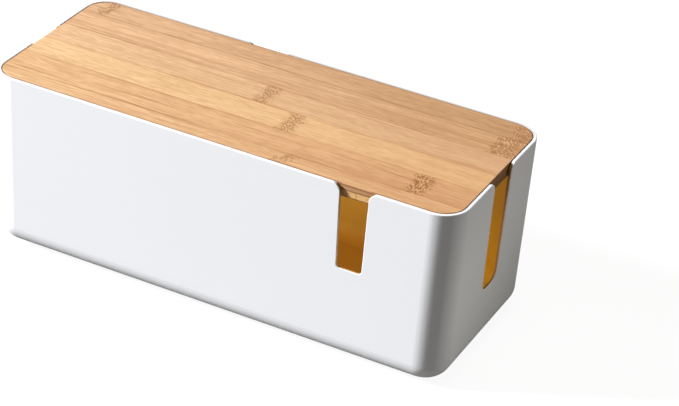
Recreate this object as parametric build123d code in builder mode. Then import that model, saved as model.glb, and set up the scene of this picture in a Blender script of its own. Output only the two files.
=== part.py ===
"""Cable management box: a moulded box with four open-topped cable slots and a lift-off bamboo lid.

Millimetres, +Z up. The origin is on the table, under the middle of the box. +X runs along the box
to its right-hand end, and the front wall faces -Y.
"""

import os

from math import atan, degrees, hypot, radians, tan

from build123d import *

os.makedirs("parts", exist_ok=True)

# ---------------------------------------------------------------- box shell
box_length = 301.5           # over the rim
box_width = 121.5            # over the rim
shell_height = 112.7         # base to rim, without the feet
long_wall_draft = 1.0        # a long wall leans in this far between the rim and the base
end_wall_draft = 2.0         # an end wall leans in this far
corner_radius = 16.5         # upright corners, outside
base_round = 12.0            # round between the walls and the base, outside
wall = 2.0
floor_thickness = 2.4
edge_round = 0.5             # on the outer edge of the rim and of the slots
inner_edge_break = 0.3       # chamfer on the inner edge of the rim and of the slots

# ---------------------------------------------------------------- cable slots
long_slot_width = 17.9       # the slots in the two long walls, across the rim
long_slot_depth = 53.2
long_slot_corner = 2.2
front_slot_x = 88.9
back_slot_x = -30.0
end_slot_width = 22.6        # the slots in the two end walls, across the rim
end_slot_depth = 74.6
end_slot_offset = 1.3        # the right-hand one sits this far to the back, the left-hand one to the front
end_slot_corner = 6.5
slot_flank_angle = 1.2       # degrees that each flank leans in towards the slot's foot
slot_lead_in = 5.5           # radius where a slot opens into the rim

# ---------------------------------------------------------------- lid
lid_gap = 0.45               # running gap all round, inside the rim
ply_thickness = 4.2          # each of the two plies
lid_edge_break = 0.35        # chamfer round the lid, above and below
upper_stave_count = 6
upper_stave_width = 21.6
upper_first_stave = 11.2     # what trimming leaves of the front stave
lower_stave_count = 13

# ---------------------------------------------------------------- ribs that carry the lid
rib_thickness = 2.0
rib_reach = 4.5              # how far a rib stands out from the wall at the rim
long_rib_pitch = 55.0
long_rib_count = 5
end_rib_spacing = 68.0       # between the two ribs of an end wall

# ---------------------------------------------------------------- feet and base
foot_diameter = 12.0
foot_height = 2.9
foot_bevel = 0.8
foot_recess_depth = 0.9
foot_recess_gap = 0.3        # round the foot
foot_inset_x = 30.0          # from the end of the box to the foot's centre
foot_inset_y = 27.0          # from the long side of the box to the foot's centre
gate_dimple_diameter = 7.0   # the moulding gate, sunk so that its stub stays off the table
gate_dimple_depth = 0.8
gate_stub_diameter = 2.4
gate_stub_height = 0.5

# ---------------------------------------------------------------- worked out from the above
long_wall_angle = degrees(atan(long_wall_draft / shell_height))
end_wall_angle = degrees(atan(end_wall_draft / shell_height))
base_level = foot_height - foot_recess_depth
rim_level = base_level + shell_height
seam_level = rim_level - ply_thickness
seat_level = seam_level - ply_thickness
lid_length = box_length - 2 * (wall + lid_gap)
lid_width = box_width - 2 * (wall + lid_gap)
lid_corner_radius = corner_radius - wall - lid_gap
overcut = 10.0               # how far a cutting shape runs past what it cuts


def tub_form(inset, bottom, top):
    """A solid tub of the shell's form, drawn in by an inset: drafted sides, rounded corners and base."""
    with BuildPart() as form:
        with BuildSketch(Plane.XY.offset(bottom)):
            Rectangle(box_length - 2 * inset, box_width - 2 * inset)
        extrude(amount=top - bottom)
        draft(form.faces().filter_by(Axis.Y), Plane.XY.offset(top), -long_wall_angle)
        draft(form.faces().filter_by(Axis.X), Plane.XY.offset(top), -end_wall_angle)
        upright_edges = form.edges().filter_by(lambda edge: edge.bounding_box().size.Z > 0.9 * (top - bottom))
        fillet(upright_edges, corner_radius - inset)
        bottom_face = form.faces().sort_by(Axis.Z)[0]
        fillet(bottom_face.edges(), base_round - inset)
    return form.part


def slot_profile(width, depth, corner):
    """A cable slot seen from outside, with the origin on the rim, in the middle of the slot."""
    foot_width = width - 2 * depth * tan(radians(slot_flank_angle))
    with BuildSketch() as profile:
        with BuildLine():
            Polyline(
                (-width / 2, overcut),
                (-width / 2, 0),
                (-foot_width / 2, -depth),
                (foot_width / 2, -depth),
                (width / 2, 0),
                (width / 2, overcut),
                close=True,
            )
        make_face()
        foot_corners = profile.vertices().group_by(Axis.Y)[0]
        fillet(foot_corners, corner)
    return profile.sketch


def reach_from_core(edge):
    """How far an edge's middle lies outside the rectangle that joins the centres of the corner rounds."""
    middle = edge @ 0.5
    beyond_x = max(abs(middle.X) - (box_length / 2 - corner_radius), 0)
    beyond_y = max(abs(middle.Y) - (box_width / 2 - corner_radius), 0)
    return hypot(beyond_x, beyond_y)


def is_outside_the_wall(edge):
    """True for a rim edge that is on the outer face of the wall."""
    return reach_from_core(edge) > corner_radius - wall / 4


def is_inside_the_wall(edge):
    """True for a rim edge that is on the inner face of the wall."""
    return reach_from_core(edge) < corner_radius - 3 * wall / 4


def rib_blanks():
    """Upright ribs from the floor to the lid's seat, still running out through the walls."""
    long_wall_reach = box_width / 2 - wall - rib_reach
    end_wall_reach = box_length / 2 - wall - rib_reach
    with BuildPart() as blanks:
        with BuildSketch(Plane.XY.offset(base_level)):
            with GridLocations(long_rib_pitch, box_width, long_rib_count, 2):
                Rectangle(rib_thickness, box_width - 2 * long_wall_reach)
            with GridLocations(box_length, end_rib_spacing, 2, 2):
                Rectangle(box_length - 2 * end_wall_reach, rib_thickness)
        extrude(amount=seat_level - base_level)
    return blanks.part


def ply_blank(bottom):
    """One ply of the lid, with square edges."""
    with BuildPart() as blank:
        with BuildSketch(Plane.XY.offset(bottom)):
            RectangleRounded(lid_length, lid_width, lid_corner_radius)
        extrude(amount=ply_thickness)
    return blank.part


def finish(part, name):
    """Names a piece and writes it out."""
    part.label = name
    export_step(part, f"parts/{name}.step")
    print(f"{name}: {part.volume / 1000:.2f} cm3")


# ---------------------------------------------------------------- the shell
foot_x = box_length / 2 - foot_inset_x
foot_y = box_width / 2 - foot_inset_y
foot_centres = {
    "foot_front_left": (-foot_x, -foot_y),
    "foot_front_right": (foot_x, -foot_y),
    "foot_back_left": (-foot_x, foot_y),
    "foot_back_right": (foot_x, foot_y),
}
front_plane = Plane(origin=(front_slot_x, -box_width / 2, rim_level), x_dir=(1, 0, 0), z_dir=(0, -1, 0))
back_plane = Plane(origin=(back_slot_x, box_width / 2, rim_level), x_dir=(-1, 0, 0), z_dir=(0, 1, 0))
left_plane = Plane(origin=(-box_length / 2, -end_slot_offset, rim_level), x_dir=(0, -1, 0), z_dir=(-1, 0, 0))
right_plane = Plane(origin=(box_length / 2, end_slot_offset, rim_level), x_dir=(0, 1, 0), z_dir=(1, 0, 0))
long_slot = slot_profile(long_slot_width, long_slot_depth, long_slot_corner)
end_slot = slot_profile(end_slot_width, end_slot_depth, end_slot_corner)
slot_cuts = [
    (front_plane, long_slot),
    (back_plane, long_slot),
    (left_plane, end_slot),
    (right_plane, end_slot),
]

with BuildPart() as support_ribs:
    add(rib_blanks())
    add(tub_form(wall / 2, base_level + floor_thickness / 2, rim_level), mode=Mode.INTERSECT)

with BuildPart() as box_shell:
    add(tub_form(0, base_level, rim_level))
    add(tub_form(wall, base_level + floor_thickness, rim_level), mode=Mode.SUBTRACT)
    for slot_plane, profile in slot_cuts:
        with BuildSketch(slot_plane):
            add(profile)
        extrude(amount=2 * wall, both=True, mode=Mode.SUBTRACT)
    mouth_corners = box_shell.edges().group_by(Axis.Z)[-1].filter_by(lambda edge: edge.length < 1.5 * wall)
    fillet(mouth_corners, slot_lead_in)
    outer_rim = box_shell.edges().group_by(Axis.Z)[-1].filter_by(is_outside_the_wall)
    fillet(outer_rim, edge_round)
    inner_rim = box_shell.edges().group_by(Axis.Z)[-1].filter_by(is_inside_the_wall)
    chamfer(inner_rim, inner_edge_break)
    add(support_ribs.part)
    with BuildSketch(Plane.XY.offset(base_level)):
        with Locations(*foot_centres.values()):
            Circle(foot_diameter / 2 + foot_recess_gap)
    extrude(amount=foot_recess_depth, mode=Mode.SUBTRACT)
    with BuildSketch(Plane.XY.offset(base_level)):
        Circle(gate_dimple_diameter / 2)
    extrude(amount=gate_dimple_depth, mode=Mode.SUBTRACT)
    with BuildSketch(Plane.XY.offset(base_level + gate_dimple_depth)):
        Circle(gate_stub_diameter / 2)
    extrude(amount=-gate_stub_height)
finish(box_shell.part, "box_shell")

# ---------------------------------------------------------------- the feet
for foot_name, foot_centre in foot_centres.items():
    with BuildPart() as foot:
        with BuildSketch():
            with Locations(foot_centre):
                Circle(foot_diameter / 2)
        extrude(amount=foot_height)
        tread_edge = foot.edges().group_by(Axis.Z)[0]
        chamfer(tread_edge, foot_bevel)
    finish(foot.part, foot_name)

# ---------------------------------------------------------------- the lid
with BuildPart() as upper_ply:
    add(ply_blank(seam_level))
    chamfer(upper_ply.faces().sort_by(Axis.Z)[-1].edges(), lid_edge_break)

with BuildPart() as lower_ply:
    add(ply_blank(seat_level))
    chamfer(lower_ply.faces().sort_by(Axis.Z)[0].edges(), lid_edge_break)

# The upper staves run along the lid, from the front to the back. Trimming left part of the first and the last.
for number in range(upper_stave_count):
    back_edge = -lid_width / 2 + upper_first_stave + number * upper_stave_width
    front_edge = back_edge - upper_stave_width
    if number == upper_stave_count - 1:
        back_edge = lid_width
    with BuildPart() as stave:
        add(upper_ply.part)
        with Locations((0, (front_edge + back_edge) / 2, seam_level)):
            Box(lid_length + overcut, back_edge - front_edge, 3 * ply_thickness, mode=Mode.INTERSECT)
    finish(stave.part, f"lid_upper_stave_{number + 1}")

# The lower staves run across the lid, all of one width.
lower_stave_width = lid_length / lower_stave_count
for number in range(lower_stave_count):
    middle = (number + 0.5) * lower_stave_width - lid_length / 2
    with BuildPart() as stave:
        add(lower_ply.part)
        with Locations((middle, 0, seat_level)):
            Box(lower_stave_width, lid_width + overcut, 3 * ply_thickness, mode=Mode.INTERSECT)
    finish(stave.part, f"lid_lower_stave_{number + 1:02d}")
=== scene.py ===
# %% [markdown]
# # A cable management box
# This lesson dresses a box that hides a power strip. The box is a white plastic moulding with four
# open-topped cable slots, and a bamboo lid lies flush inside its rim. The solids come finished from CAD, so
# the work here is in the finishes, the camera and the light.

# %% Load the frame
import math

import bpy
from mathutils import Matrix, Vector


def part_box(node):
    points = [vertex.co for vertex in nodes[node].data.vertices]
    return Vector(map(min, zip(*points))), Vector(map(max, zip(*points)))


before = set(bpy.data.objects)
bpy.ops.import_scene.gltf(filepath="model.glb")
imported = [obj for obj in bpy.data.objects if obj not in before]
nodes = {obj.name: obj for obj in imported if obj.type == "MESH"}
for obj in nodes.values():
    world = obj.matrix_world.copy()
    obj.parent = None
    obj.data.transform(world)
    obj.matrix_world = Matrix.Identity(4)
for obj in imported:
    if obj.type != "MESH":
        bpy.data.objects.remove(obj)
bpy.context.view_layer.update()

MM = 0.001


# %% [markdown]
# ## Where the surfaces are
# Finishes that follow the form need a few places on it. Levels and outer sizes are read from the pieces'
# own boxes, so they stay true if the box is made longer or higher. What those boxes can't tell, such as the
# radius of a corner, is named in the cell that uses it. All lengths in a finish are in millimetres, because
# a grain of bamboo is easier to picture as 1.5 than as 0.0015.

# %% Read the places that the finishes need
shell_low, shell_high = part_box("box_shell")
rim_level = shell_high.z / MM
base_level = shell_low.z / MM
half_length = shell_high.x / MM
half_width = shell_high.y / MM

lid_top_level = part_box("lid_upper_stave_1")[1].z / MM
glue_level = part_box("lid_upper_stave_1")[0].z / MM
seat_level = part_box("lid_lower_stave_01")[0].z / MM
lid_half_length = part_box("lid_upper_stave_3")[1].x / MM
lid_half_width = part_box("lid_upper_stave_6")[1].y / MM
print("box, base and rim at", round(base_level, 1), round(rim_level, 1), "mm")
print("lid, seat and top at", round(seat_level, 1), round(lid_top_level, 1), "mm")
print("glue line between the plies at", round(glue_level, 1), "mm")

# %% [markdown]
# ## Writing shader maths as sums
# A procedural finish is a sum: how far a point is from an edge, times how strong the grain is there. In
# Blender each sign of that sum is a Math node, and wiring those by hand hides the thought. The small
# `Value` class below wraps one output socket and overloads Python's signs, so that `1 - mask` adds the Math
# node by itself.

# %% A number that changes over a surface
class Value:
    """One output of a shader node. Python's signs on it add Math nodes."""

    def __init__(self, sheet, socket):
        self.sheet = sheet
        self.socket = socket

    def maths(self, operation, *terms):
        return self.sheet.node("ShaderNodeMath", {"operation": operation}, dict(enumerate(terms)))

    def __add__(self, other):
        return self.maths("ADD", self, other)

    def __sub__(self, other):
        return self.maths("SUBTRACT", self, other)

    def __rsub__(self, other):
        return self.maths("SUBTRACT", other, self)

    def __mul__(self, other):
        return self.maths("MULTIPLY", self, other)

    def __abs__(self):
        return self.maths("ABSOLUTE", self)

    def root(self):
        return self.maths("SQRT", self)

    def least(self, other):
        return self.maths("MINIMUM", self, other)

    def most(self, other):
        return self.maths("MAXIMUM", self, other)

    __radd__ = __add__
    __rmul__ = __mul__


def diagonal(x, y):
    """How far a point is from a corner, from its distances to the corner's two sides."""
    return (x * x + y * y).root()


print("signs that a value knows: + - *, abs, root, least, most")

# %% [markdown]
# ## A sheet of nodes
# A material and the world each hold a tree of nodes. `NodeSheet` wraps such a tree, and its one `node`
# method makes every kind of node: the settings go in first, since they decide which sockets the node has.
# The three mixtures that all finishes share stand on it: soft noise, a fade between two numbers, and a
# blend of two colours. Colours are blended in a Mix node, because a Math node would turn them grey.

# %% A tree of nodes
class NodeSheet:
    """A tree of nodes that is built up from values."""

    def __init__(self, tree):
        self.tree = tree

    def feed(self, socket, value):
        """Links a value to a socket, or writes a plain number or colour into it."""
        if isinstance(value, Value):
            self.tree.links.new(value.socket, socket)
        else:
            socket.default_value = value

    def node(self, kind, settings, inputs, output=0):
        """Adds a node and returns one of its outputs. Inputs are given by the socket's name or number."""
        made = self.tree.nodes.new(kind)
        for setting, value in settings.items():
            setattr(made, setting, value)
        for name, value in inputs.items():
            self.feed(made.inputs[name], value)
        return Value(self, made.outputs[output])

    def noise(self, x, y, z, detail=2.0, roughness=0.5):
        """Soft noise about 0.5. The arguments count its grains, so x * 0.1 has a grain every 10 mm."""
        spot = self.node("ShaderNodeCombineXYZ", {}, {"X": x, "Y": y, "Z": z})
        return self.node("ShaderNodeTexNoise", {}, {
            "Vector": spot, "Scale": 1.0, "Detail": detail, "Roughness": roughness})

    def fade(self, value, start, end):
        """0 where the value is at start, 1 where it is at end, and smooth between them."""
        return self.node("ShaderNodeMapRange", {"interpolation_type": "SMOOTHSTEP"}, {
            "Value": value, "From Min": start, "From Max": end})

    def blend(self, share, first, second):
        """A colour between two colours."""
        return self.node("ShaderNodeMix", {"data_type": "RGBA"}, {0: share, 6: first, 7: second}, 2)

    def camera_ray(self):
        """1 for what the camera sees directly, and 0 for the light that the objects get."""
        return self.node("ShaderNodeLightPath", {}, {}, "Is Camera Ray")


print("a node sheet feeds, adds nodes, and makes noise, fades and blends")

# %% [markdown]
# ## A material
# `Finish` is the node sheet of one material, with the ready-made Principled shader on it. It starts with
# the point's place on the object, which moves with the piece, so a pattern never slides when the lid is
# lifted. `set` fills the shader's sockets and `bump` gives the surface its fine relief. `screen` turns a
# colour as a screen shows it into the numbers that light adds up in.

# %% A material and its colours
class Finish(NodeSheet):
    """A material that is built up from nodes. Lengths on it are in millimetres."""

    def __init__(self, name):
        self.material = bpy.data.materials.new(name)
        self.material.use_nodes = True
        super().__init__(self.material.node_tree)
        self.shader = self.tree.nodes["Principled BSDF"]
        place = self.node("ShaderNodeTexCoord", {}, {}, "Object")
        axes = self.node("ShaderNodeSeparateXYZ", {}, {"Vector": place})
        sides = axes.socket.node.outputs
        self.x, self.y, self.z = (Value(self, side) * (1 / MM) for side in sides)

    def set(self, **values):
        """Gives the shader's sockets their numbers or values; Base_Color is the socket Base Color."""
        for name, value in values.items():
            self.feed(self.shader.inputs[name.replace("_", " ")], value)

    def bump(self, height, strength, depth):
        """Tilts the surface by a height in 0 to 1, where depth is its size in millimetres."""
        lift = self.node("ShaderNodeBump", {}, {
            "Height": height, "Strength": strength, "Distance": depth * MM})
        self.set(Normal=lift)


def screen(red, green, blue):
    """The shader's colour for a colour as a screen shows it, on a scale of 0 to 255."""
    parts = [part / 255 for part in (red, green, blue)]
    return tuple(p / 12.92 if p <= 0.04045 else ((p + 0.055) / 1.055) ** 2.4 for p in parts) + (1.0,)


print("a middle grey of 128 on a screen is", round(screen(128, 128, 128)[0], 3), "in the shader")

# %% [markdown]
# ## How deep in the wall
# The shell is one satin white moulding whose inner surface shows a warm ochre through the slots. It could
# be split into an outer and an inner piece, but the real wall is one skin, so one finish does both. It
# needs to know how deep a point lies below the outside. The walls lean in a little towards the base, their
# upright corners are round, and a big round joins them to the floor, so the depth is measured across each
# of those.

# %% Depth below the outside of the shell
WALL = 2.0                                     # wall thickness
LONG_LEAN = 1.0 / (rim_level - base_level)     # how far the long walls lean in, per millimetre of height
END_LEAN = 2.0 / (rim_level - base_level)      # and the end walls
CORNER = 16.5                                  # radius of the upright corners
BASE_ROUND = 12.0                              # radius between the walls and the floor


def depth_in_shell(finish):
    """How deep a point lies below the outer surface of the shell."""
    drop = rim_level - finish.z
    corner_x = (abs(finish.x) + drop * END_LEAN - (half_length - CORNER)).most(0.0)
    corner_y = (abs(finish.y) + drop * LONG_LEAN - (half_width - CORNER)).most(0.0)
    depth_in_wall = CORNER - diagonal(corner_x, corner_y)
    depth_in_floor = finish.z - base_level
    short_of_wall = (BASE_ROUND - depth_in_wall).most(0.0)
    short_of_floor = (BASE_ROUND - depth_in_floor).most(0.0)
    return BASE_ROUND - diagonal(short_of_wall, short_of_floor)


print("long walls lean", round(math.degrees(math.atan(LONG_LEAN)), 2), "degrees")

# %% [markdown]
# ## White moulded plastic
# Plain white would look like paper, so the outside varies very softly, in clouds as wide as a hand, and a
# faint mould texture breaks up the highlight. The inner edge of the back rim is painted a little brown: it
# is painted shade for the narrow gap between the lid and the rim.

# %% The white outside
plastic = Finish("shell_plastic")
depth = depth_in_shell(plastic)
mould_grain = plastic.noise(plastic.x * 1.2, plastic.y * 1.2, plastic.z * 1.2, 3.0, 0.6)
cloud = plastic.noise(plastic.x * 0.012, plastic.y * 0.012, plastic.z * 0.012)
white = plastic.blend(cloud, screen(232, 234, 239), screen(235, 237, 242))

at_back = plastic.fade(plastic.y, half_width - 14.0, half_width - 8.0)
# painted shade: the inner edge of the back rim darkens where the gap round the lid lies in shade
painted_rim_shade = plastic.fade(depth, WALL - 1.0, WALL - 0.3) * at_back * 0.6
white = plastic.blend(painted_rim_shade, white, screen(112, 80, 52))
print("outside:", len(plastic.tree.nodes), "nodes so far")

# %% [markdown]
# ## Ochre inside
# The depth turns the colour from white to ochre. The rim and the rounded outer edge of each slot stay
# white. The cut faces of the slots belong to the inside, and they are a shade darker. The ochre changes
# towards the floor, and at the right-hand end it gets lighter there. It is also duller than the outside,
# since the inner half of a mould is seldom polished.

# %% The ochre inside, and the whole shell
inside = plastic.fade(depth, 0.35, 0.55) * plastic.fade(rim_level - plastic.z, 0.6, 0.9)
cut_face = plastic.fade(depth, WALL - 0.05, WALL - 0.2) * inside
ochre = plastic.blend(plastic.fade(plastic.z, 5.0, 14.0), screen(184, 131, 30), screen(185, 143, 47))
end_ochre = plastic.blend(plastic.fade(plastic.z, 2.0, 62.0), screen(213, 170, 34), screen(169, 126, 24))
ochre = plastic.blend(plastic.fade(plastic.x, 70.0, 105.0), ochre, end_ochre)
ochre = plastic.blend(cut_face, ochre, screen(160, 116, 56))

plastic.set(
    Base_Color=plastic.blend(inside, white, ochre),
    Roughness=0.42 + 0.1 * mould_grain + 0.3 * inside,
    Specular_IOR_Level=0.4,
)
plastic.bump(mould_grain, 0.15, 0.02)
print("shell finish:", len(plastic.tree.nodes), "nodes")

# %% [markdown]
# ## Bamboo staves
# The lid is glued up from bamboo staves. Bamboo has no growth rings: it has straight fibres that run the
# whole length of a stave, and every so often a knot, where the culm had its joint. An image would show all
# that at once, but it would repeat and it would not follow the staves, so each stave gets its own finish
# from one recipe, with its own colours, streaks and knots. The recipe is built up in layers, each a short
# function that takes the colour so far and returns the next one.
#
# The first layer is the plain colour. It changes slowly along the stave, with a cloudy border so that the
# change is nowhere a straight line. Its darkening towards the right-hand end, which all staves share, is
# painted light: a sheen on the left-hand part of the lid painted into the colour.

# %% Layer 1: the colour along a stave
def lengthwise(finish, seed, left, right):
    """Left turns softly into right along the lid."""
    middle = 40.0
    reach = 165.0
    cloud = finish.noise(finish.x * 0.03, finish.y * 0.06, seed)
    # painted light: the shared lighter left-hand end stands in for a sheen
    return finish.blend(finish.fade(finish.x + 80.0 * cloud, middle - reach, middle + reach), left, right)


print("layer 1 takes a stave from its left colour to its right colour")

# %% [markdown]
# ## Fibres
# The figure of a stave is a sum of three noises that are all stretched along it: wide bands, the bundles of
# fibres, and a short grain. Where the sum is high the colour moves towards the stave's line colour, which
# is darker and redder, so a dark streak also gets warmer as it does in the real thing. A few long streaks
# run through it, and some staves have fine lines as well. `across` is the direction over the stave. It
# wanders a little, since no fibre is quite straight, and it takes in the height, so that the upright sides
# of the lid show fibres too.

# %% Layer 2: the fibres
def fibres(finish, seed, colour, line, figure, streaks, fine):
    """Draws the fibres over a colour. Returns the colour, and the bundles of fibres for the bump."""
    across = finish.y + 1.8 * finish.noise(finish.x * 0.015, seed, 0.0) + 0.6 * finish.z
    bands = finish.noise(finish.x * 0.008, across * 0.14, seed + 20.0, 1.5)
    bundles = finish.noise(finish.x * 0.05, across * 0.55, seed + 10.0)
    grain = finish.noise(finish.x * 0.15, across * 1.25, seed + 30.0, 1.5)
    tone = 0.24 * bands + 0.36 * bundles + 0.40 * grain
    colour = finish.blend(finish.fade(tone, 0.38, 0.62) * figure, colour, line)

    long_streaks = finish.noise(finish.x * 0.012, across * 0.42, seed + 40.0, 1.5)
    dark = finish.fade(long_streaks, 0.58, 0.72) * streaks
    if fine:
        fine_lines = finish.noise(finish.x * 0.010, across * 0.72, seed + 50.0, 0.0)
        dark = dark.most(finish.fade(fine_lines, 0.45, 0.62) * fine)
    return finish.blend(dark, colour, line), bundles


print("layer 2 mixes bands, bundles and grain, and draws the dark streaks")

# %% [markdown]
# ## Seams
# Two staves that are glued side by side show a thin dark line in places, where the glue has come up. A line
# of even strength would look drawn on, so it is broken into patches, and its edge is made uneven by noise.

# %% Layer 3: the glue seams
def seams(finish, seed, low, high, colour, line):
    """Darkens a stave in patches along its two long edges, which are at low and high."""
    uneven = 1.4 * finish.noise(finish.x * 0.06, seed, 7.0) - 0.7
    from_seam = (finish.y - low).least(high - finish.y) + uneven
    patches = finish.fade(finish.noise(finish.x * 0.018, finish.y * 0.05, seed + 60.0), 0.38, 0.62)
    seam = finish.fade(from_seam, 1.4, 0.1) * (0.2 + 0.8 * patches)
    return finish.blend(0.6 * seam, colour, line)


print("layer 3 darkens the seams in patches")

# %% [markdown]
# ## Knots
# At a joint of the culm the fibres turn across in short dark strokes, with paler flecks between them, in a
# band that runs over the whole stave. The strokes are one noise that is stretched and turned, and a ragged
# mask keeps them in the band. The ground under them is a little darker too.

# %% Layer 4: the knots
KNOT_FLECK = screen(230, 197, 153)
KNOT_GROUND = screen(174, 119, 75)
KNOT_STROKE = screen(122, 76, 36)


def knot(finish, seed, stave_middle, colour, place):
    """Draws one knot. Its place is (x, half width, lean, strength), and lean is how far it shifts along the
    stave per step over it."""
    x, y = finish.x, finish.y
    knot_x, half_width, lean, strength = place
    ragged = 10.0 * finish.noise(x * 0.2, y * 0.3, seed + 80.0) - 5.0
    from_middle = abs(x - knot_x - lean * (y - stave_middle) + ragged)
    zone = finish.fade(from_middle, half_width + 2.0, half_width - 4.0)
    turned = finish.noise(x * 0.95 + y * 0.45, y * 0.50 - x * 0.24, seed + 90.0, 1.5, 0.6)
    flecks = finish.fade(turned, 0.46, 0.34)
    strokes = finish.fade(turned + 0.11 * zone, 0.55, 0.67)
    colour = finish.blend(flecks * zone * (0.6 * strength), colour, KNOT_FLECK)
    colour = finish.blend(zone * (0.36 * strength), colour, KNOT_GROUND)
    return finish.blend(zone * strokes * strength, colour, KNOT_STROKE)


print("layer 4 draws a knot in three tones")

# %% [markdown]
# ## The painted shade round the lid
# A thin dark outline round the lid is painted shade for the narrow gap between the lid and the rim. It lies
# on the fine chamfer, weak at the two ends of the lid and over the front slot. Along the back it also
# spreads a millimetre over the top, and the outermost millimetre of the top is a little darker all round.
# The lid's corners are round, so the distance to its edge is measured like the depth in the shell's wall.

# %% Layer 5: the outline of the lid
LID_CORNER = 14.05        # radius of the lid's corners
LID_CHAMFER = 0.35
FRONT_SLOT = 88.9         # the middle of the front slot
# painted shade: the colour of the shadow in the gap round the lid
GAP_SHADE = screen(107, 71, 44)


def on_side(finish):
    """1 on the lid's upright faces, and 0 on its top and its chamfer."""
    return finish.fade(lid_top_level - finish.z, LID_CHAMFER - 0.05, LID_CHAMFER + 0.05)


def outline(finish, colour):
    """Paints shade as a dark edge round the top of the lid, for the gap between the lid and the rim."""
    on_chamfer = finish.fade(lid_top_level - finish.z, 0.0, 0.12) * (1 - on_side(finish))
    off_the_ends = finish.fade(abs(finish.x), lid_half_length - 1.0, lid_half_length - 6.0)
    off_the_slot = finish.fade(abs(finish.x - FRONT_SLOT), 8.0, 9.5)
    # painted shade on the chamfer, weak at the ends of the lid and over the front slot
    chamfer_shade = on_chamfer * (0.15 + 0.6 * off_the_ends) * off_the_slot

    past_x = (abs(finish.x) - (lid_half_length - LID_CORNER)).most(0.0)
    past_y = (abs(finish.y) - (lid_half_width - LID_CORNER)).most(0.0)
    from_edge = LID_CORNER - diagonal(past_x, past_y)
    # painted shade along the back edge, and faintly round the whole edge of the top
    at_back = finish.fade(finish.y, lid_half_width - 12.0, lid_half_width - 6.0)
    back_gap_shade = finish.fade(from_edge, 1.3, 0.4) * at_back * 0.5
    edge_shade = (finish.fade(from_edge, 1.0, 0.2) * 0.1).most(back_gap_shade)
    return finish.blend(edge_shade.most(chamfer_shade), colour, GAP_SHADE)


print("layer 5 outlines a lid of", round(2 * lid_half_length, 1), "by", round(2 * lid_half_width, 1), "mm")

# %% [markdown]
# ## The lid's upright faces
# The long sides show the layers of a stave and the glue line between the two plies. The end faces are end
# grain, and their brown is partly the darker end grain and partly painted shade. The nearly black band just
# below the chamfer is a painted shadow.

# %% Layer 6: the sides and the ends
def on_end(finish):
    """1 on the lid's two end faces."""
    return finish.fade(abs(finish.x), lid_half_length - 0.25, lid_half_length - 0.05)


def upright_faces(finish, seed, colour):
    """Draws the layers on the long sides, and on the ends the end grain with painted shade and a painted
    shadow.
    """
    glue_line = finish.fade(abs(finish.z - glue_level), 0.5, 0.2)
    layers = finish.fade(finish.noise(finish.x * 0.02, finish.z * 0.75, seed + 70.0, 1.0), 0.42, 0.56)
    colour = finish.blend(layers.most(glue_line) * on_side(finish) * 0.75, colour, screen(132, 88, 44))
    # painted shadow: nearly black just below the chamfer, then a brown that is partly end grain, partly
    # painted shade
    below_top = finish.fade(lid_top_level - finish.z, 0.5, 0.9)
    end_grain_and_shade = finish.blend(below_top, screen(60, 30, 8), screen(140, 90, 36))
    return finish.blend(on_end(finish) * on_side(finish), colour, end_grain_and_shade)


print("layer 6 starts", LID_CHAMFER, "mm below the top of the lid")

# %% [markdown]
# ## The recipe
# One call makes the finish of one stave from all the layers. Bamboo is hard and close, so the oil leaves it
# fairly smooth, and the bundles of fibres are rougher and stand a few hundredths of a millimetre proud.

# %% The recipe for a stave
def bamboo(name, piece, left, right, line, seed, figure, streaks, fine, knots):
    """A bamboo finish for one stave, with its fibres along X. Left and right are its colours at the two
    ends of the lid, and line is the colour of its dark fibres. The seed makes its pattern unlike the other
    staves'. Figure, streaks and fine say how strongly its fibres, its long streaks and its fine lines show,
    and knots lists the places of its knots."""
    finish = Finish(name)
    low, high = (corner.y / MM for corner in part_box(piece))
    colour = lengthwise(finish, seed, left, right)
    colour, bundles = fibres(finish, seed, colour, line, figure, streaks, fine)
    colour = seams(finish, seed, low, high, colour, line)
    for place in knots:
        colour = knot(finish, seed, (low + high) / 2, colour, place)
    colour = upright_faces(finish, seed, outline(finish, colour))
    finish.set(Base_Color=colour, Roughness=0.40 + 0.18 * bundles, Specular_IOR_Level=0.35)
    finish.bump(bundles, 0.25, 0.06)
    print(name, "has", len(finish.tree.nodes), "nodes")
    return finish.material


# %% [markdown]
# ## The six upper staves
# They are numbered from the front of the box to the back. No two came from the same part of the culm: the
# third is light and yellow, the back ones are redder, and the front one was trimmed down to a strip. All of
# them darken a little towards the right-hand end; that shared darkening is painted light, a sheen on the
# left-hand part of the lid. The knots of the fifth and the sixth lie side by side at the right-hand end.

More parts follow.
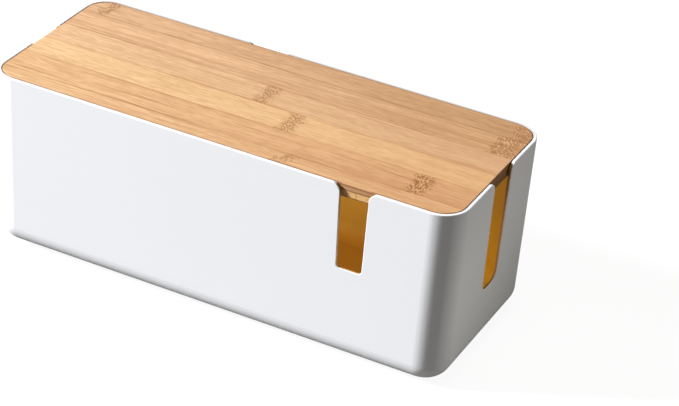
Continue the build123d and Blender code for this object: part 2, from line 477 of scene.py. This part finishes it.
# %% Finish of each upper stave
# painted sheen: every stave's left colour is lighter than its right
upper_finishes = {
    1: bamboo("bamboo_orange", "lid_upper_stave_1", screen(227, 189, 145), screen(207, 165, 122),
              screen(167, 113, 71), seed=1.3, figure=0.42, streaks=0.35, fine=0.25,
              knots=[(41.0, 6.0, 0.6, 0.45)]),
    2: bamboo("bamboo_figured", "lid_upper_stave_2", screen(224, 183, 139), screen(199, 154, 112),
              screen(155, 102, 60), seed=2.7, figure=0.40, streaks=0.45, fine=0.0,
              knots=[(117.0, 6.5, 0.0, 0.66)]),
    3: bamboo("bamboo_light", "lid_upper_stave_3", screen(230, 194, 149), screen(207, 166, 121),
              screen(173, 126, 76), seed=3.9, figure=0.45, streaks=0.35, fine=0.0,
              knots=[(25.0, 6.0, 0.0, 0.6)]),
    4: bamboo("bamboo_pink", "lid_upper_stave_4", screen(224, 187, 146), screen(200, 160, 121),
              screen(171, 118, 84), seed=4.1, figure=0.45, streaks=0.35, fine=0.0,
              knots=[(-2.5, 6.0, 0.0, 0.55)]),
    5: bamboo("bamboo_tan", "lid_upper_stave_5", screen(228, 187, 147), screen(195, 154, 114),
              screen(147, 98, 62), seed=5.6, figure=0.34, streaks=0.35, fine=0.25,
              knots=[(139.0, 9.0, -0.1, 0.52)]),
    6: bamboo("bamboo_back", "lid_upper_stave_6", screen(217, 177, 139), screen(186, 145, 106),
              screen(142, 95, 60), seed=6.2, figure=0.38, streaks=0.25, fine=0.0,
              knots=[(-136.0, 5.0, 0.1, 0.6), (142.0, 8.0, -0.1, 0.42)]),
}

# %% [markdown]
# ## The lower ply
# Its staves run across the lid, so along the long walls they show their end grain, which looks speckled:
# the dark ends of the fibre bundles in paler pith. On the two ends of the lid they are brown like the ply
# above, partly their own colour and partly painted shade. The lowest edge is darkest: that is painted
# shadow.

# %% Finish of the lower ply
lower = Finish("bamboo_lower")
specks = lower.noise(lower.x * 0.9, lower.y * 0.9, lower.z * 1.4)
pith = lower.noise(lower.x * 0.55, lower.y * 0.05, lower.z * 0.3, 3.0)
lower_colour = lower.blend(pith, screen(208, 162, 106), screen(232, 189, 132))
lower_colour = lower.blend(lower.fade(specks, 0.5, 0.62) * 0.5, lower_colour, screen(150, 104, 56))
# partly painted shade: the ends of the lower ply are brown, like the ends above
lower_colour = lower.blend(on_end(lower), lower_colour, screen(128, 84, 34))
# painted shadow along the lowest edge of the lid
shadow_at_lowest_edge = lower.fade(lower.z, seat_level + 0.9, seat_level + 0.5) * 0.8
lower_colour = lower.blend(shadow_at_lowest_edge, lower_colour, screen(92, 56, 14))
lower.set(Base_Color=lower_colour, Roughness=0.5 + 0.15 * specks, Specular_IOR_Level=0.3)
lower.bump(pith, 0.25, 0.05)
print("lower ply finish:", len(lower.tree.nodes), "nodes")

# %% [markdown]
# ## Rubber feet
# Small grey rubber discs. Rubber is rough and slightly dusty, so its colour varies softly and it has hardly
# any highlight.

# %% The feet's finish
rubber = Finish("foot_rubber")
dust = rubber.noise(rubber.x * 0.5, rubber.y * 0.5, rubber.z * 0.5, 4.0, 0.6)
rubber.set(
    Base_Color=rubber.blend(dust, screen(120, 120, 118), screen(150, 150, 146)),
    Roughness=0.75 + 0.15 * dust,
)
rubber.bump(dust, 0.3, 0.05)
print("rubber finish:", len(rubber.tree.nodes), "nodes")

# %% [markdown]
# ## Dress the pieces
# The CAD pieces keep their meshes. Each only gets its finish in its material slot, which its name decides.

# %% Give each piece its finish
for name, node in nodes.items():
    if name.startswith("lid_upper"):
        material = upper_finishes[int(name[-1])]
    elif name.startswith("lid_lower"):
        material = lower.material
    elif name.startswith("foot"):
        material = rubber.material
    else:
        material = plastic.material
    node.data.materials.clear()
    node.data.materials.append(material)
print("dressed", len(nodes), "pieces")

# %% [markdown]
# ## The stage
# A wide pale floor takes the shadow. To the camera it is a clean white: most of its brightness comes from a
# soft emission that only camera rays see, so the white doesn't depend on turning up the lamps, which would
# burn out the white plastic. To the box it is a plain grey card that throws a little light back up.

# %% Floor
FLOOR_SIZE = 60.0                              # metres
FLOOR_BOUNCE = (0.215, 0.212, 0.205, 1.0)      # what the box gets back from it
FLOOR_SEEN = (0.13, 0.13, 0.13, 1.0)           # the part of its brightness that a shadow can take away
FLOOR_GLOW = (0.92, 0.92, 0.92, 1.0)           # and the part that stays

bpy.ops.object.select_all(action="DESELECT")
bpy.ops.mesh.primitive_plane_add(size=FLOOR_SIZE)
floor = bpy.context.object
floor.name = "floor"
paper = Finish("stage_floor")
paper.set(
    Base_Color=paper.blend(paper.camera_ray(), FLOOR_BOUNCE, FLOOR_SEEN),
    Emission_Color=paper.blend(paper.camera_ray(), (0.0, 0.0, 0.0, 1.0), FLOOR_GLOW),
    Emission_Strength=1.0,
    Roughness=1.0,
    Specular_IOR_Level=0.0,
)
floor.data.materials.append(paper.material)
print("floor:", round(floor.dimensions.x), "m square")

# %% [markdown]
# ## The room
# Beyond the floor the camera sees plain white. The box gets a weak warm light from all round instead, as
# from the walls of a room, which keeps the shaded sides from going cold and black.

# %% World
ROOM_COLOUR = (1.0, 0.86, 0.62, 1.0)
ROOM_STRENGTH = 0.063

world = bpy.data.worlds.new("studio")
bpy.context.scene.world = world
world.use_nodes = True
room = NodeSheet(world.node_tree)
room.tree.nodes.remove(room.tree.nodes["Background"])
glow = room.node("ShaderNodeBackground", {}, {"Color": ROOM_COLOUR, "Strength": ROOM_STRENGTH})
seen_white = room.node("ShaderNodeBackground", {}, {"Color": (1.0, 1.0, 1.0, 1.0), "Strength": 1.0})
choice = room.node("ShaderNodeMixShader", {}, {0: room.camera_ray(), 1: glow, 2: seen_white})
room.feed(room.tree.nodes["World Output"].inputs["Surface"], choice)
print("world:", len(room.tree.nodes), "nodes")

# %% [markdown]
# ## A softbox
# Product pictures are lit with softboxes, which are wide lamps with a cloth front. In Blender that is an
# area light. It is easier to place by where it stands round the box than by its coordinates, and to set by
# how bright it makes a white card than by its watts, so a short function works those out.
#
# A softbox can have a grid, which keeps its light from spreading to the sides. `spread` does that here.
# Narrowing the cone doesn't take light away in Blender, it packs the same light closer together, so the
# energy is worked out for the cone.

# %% A softbox
WHITE_LIGHT = (1.0, 1.0, 1.0)
BOX_MIDDLE = (0.0, 0.0, 0.06)


def softbox(name, turn, height, distance, sides, level, colour=WHITE_LIGHT, target=BOX_MIDDLE,
            spread=180.0):
    """An area light that faces its target. Turn is in degrees from the front towards the right-hand end,
    and height is in degrees above the table. The level is how brightly it would show a white card that
    faces it. Spread is the full angle of the cone that it lights."""
    turn, height = math.radians(turn), math.radians(height)
    along_table = Vector((math.sin(turn), -math.cos(turn), 0.0))
    way = along_table * math.cos(height) + Vector((0.0, 0.0, math.sin(height)))
    data = bpy.data.lights.new(name, "AREA")
    data.shape = "RECTANGLE"
    data.size, data.size_y = sides
    half_spread = math.radians(spread) / 2
    gathered = 1 - half_spread / math.tan(half_spread)
    data.energy = level * math.pi * (math.pi * distance ** 2 + sides[0] * sides[1]) * gathered
    data.color = colour
    data.spread = 2 * half_spread
    lamp = bpy.data.objects.new(name, data)
    bpy.context.scene.collection.objects.link(lamp)
    lamp.location = Vector(target) + distance * way
    lamp.rotation_euler = way.to_track_quat("Z", "Y").to_euler()
    lamp.visible_camera = False
    print(name, "at", [round(v, 2) for v in lamp.location], "m")


# %% [markdown]
# ## The lamps outside
# One soft key light stands far to the left, a little to the front and not high. It grazes the front wall,
# so the left-hand corner is the brightest place and the light ends sharply on the near right-hand corner.
#
# A weak fill from behind on the right lifts the end wall to a plain grey. A plain lamp there would light
# the whole wall alike, and the lid with it. So this one has a grid, and its light fades along the wall and
# stays off the lid.
#
# A faint lamp straight overhead lights what faces up and hardly touches the walls. It keeps the fine lines
# between the lid and the rim from going black.

# %% Key light, fill and top light
WARM_LIGHT = (1.0, 0.97, 0.89)
NEAR_CORNER = (0.148, -0.055, 0.052)           # where the fill's cone is brightest

softbox("key_light", turn=-65.0, height=27.5, distance=9.0, sides=(1.6, 1.6), level=2.31)
softbox("fill_light", turn=132.0, height=10.0, distance=1.0, sides=(0.06, 0.06), level=0.405,
        colour=WARM_LIGHT, target=NEAR_CORNER, spread=21.0)
softbox("top_light", turn=0.0, height=90.0, distance=4.0, sides=(1.2, 1.2), level=0.28)

# %% [markdown]
# ## The light inside
# Light also gets into a real box through its thin walls. Letting it through the plastic would take many
# more light paths to come out clean, so two long lamps inside stand in for it, one for each long wall, and
# the ochre shows through the slots.

# %% The light inside
INSIDE_LIGHT = (1.0, 0.97, 0.9)
INSIDE_SIDES = (0.286, 0.06)                   # nearly as long as the box is inside
TO_LONG_WALL = 0.056                           # from the middle of the box to a long wall

softbox("inside_light_back", turn=0.0, height=0.0, distance=TO_LONG_WALL, sides=INSIDE_SIDES,
        level=0.85, colour=INSIDE_LIGHT, target=(0.0, TO_LONG_WALL, 0.06))
softbox("inside_light_front", turn=180.0, height=0.0, distance=TO_LONG_WALL, sides=INSIDE_SIDES,
        level=1.6, colour=INSIDE_LIGHT, target=(0.0, -TO_LONG_WALL, 0.06))

# %% [markdown]
# ## The camera
# A long lens from the front right, looking down on the lid, with a slight roll. Three angles in degrees are
# easier to read than a matrix. They, the place and the lens were fitted to the box's own edges.

# %% Camera
CAMERA_PLACE = (0.553874, -1.081043, 0.772024)
CAMERA_ANGLES = (59.178, -3.924, 27.228)
LENS = 126.848

camera_data = bpy.data.cameras.new("camera")
camera_data.lens = LENS
camera_data.sensor_width = 36.0
camera = bpy.data.objects.new("camera", camera_data)
bpy.context.scene.collection.objects.link(camera)
camera.location = CAMERA_PLACE
camera.rotation_euler = [math.radians(angle) for angle in CAMERA_ANGLES]
bpy.context.scene.camera = camera
bpy.context.scene.view_settings.view_transform = "Standard"
print("camera at", CAMERA_PLACE, "m, lens", LENS, "mm")
